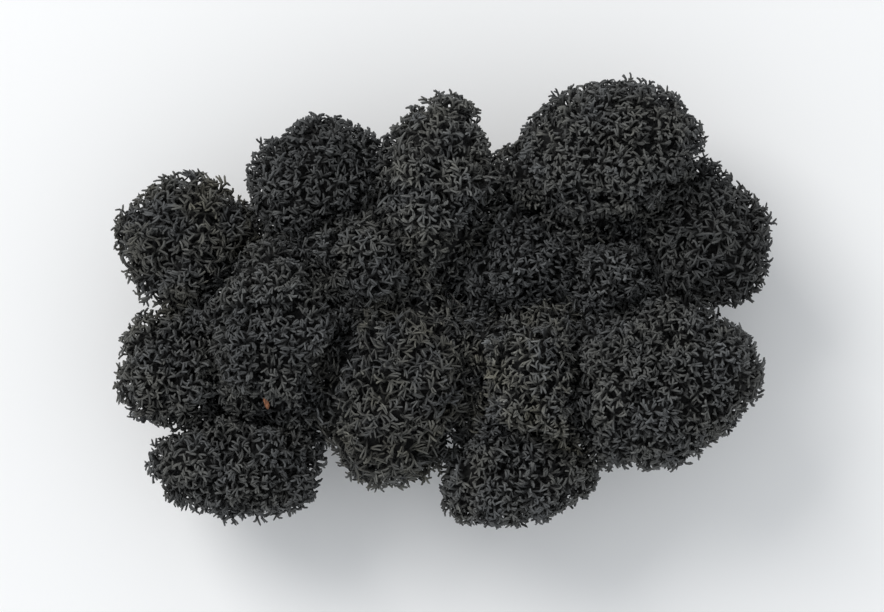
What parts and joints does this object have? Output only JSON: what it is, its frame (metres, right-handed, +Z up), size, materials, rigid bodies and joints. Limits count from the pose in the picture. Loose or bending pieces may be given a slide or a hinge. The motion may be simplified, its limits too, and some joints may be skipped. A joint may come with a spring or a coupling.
{
  "type": "reindeer moss clump",
  "caption": "Loose clump of dyed black reindeer moss: rounded cushion-like heads of finely forked branch tips, pressed together above thin stems that draw in to a smaller base",
  "frame": {"origin": "On the surface the clump rests on, under the middle of its outline in plan", "axes": "+X runs along the clump's longer side, to the right in the picture; +Y across it, towards the picture's top; +Z up, from the stem ends to the heads"},
  "size_m": [0.1678, 0.115, 0.0621],
  "materials": {
    "moss_black": "dyed near-black lichen, matt, finely branched, soft and springy",
    "moss_charcoal": "dyed charcoal lichen that took a little less dye, matt, finely branched",
    "moss_olive": "dyed black lichen with its own olive brown showing at the tips, matt, finely branched"
  },
  "bodies": {
    "root": {"head_01": "moss_black", "head_02": "moss_charcoal", "head_03": "moss_charcoal", "head_04": "moss_olive", "head_05": "moss_olive", "head_06": "moss_olive", "head_07": "moss_black", "head_08": "moss_charcoal", "head_09": "moss_charcoal", "head_10": "moss_black", "head_11": "moss_black", "head_12": "moss_black", "head_13": "moss_black", "head_14": "moss_olive", "head_15": "moss_charcoal"}
  },
  "joints": []
}
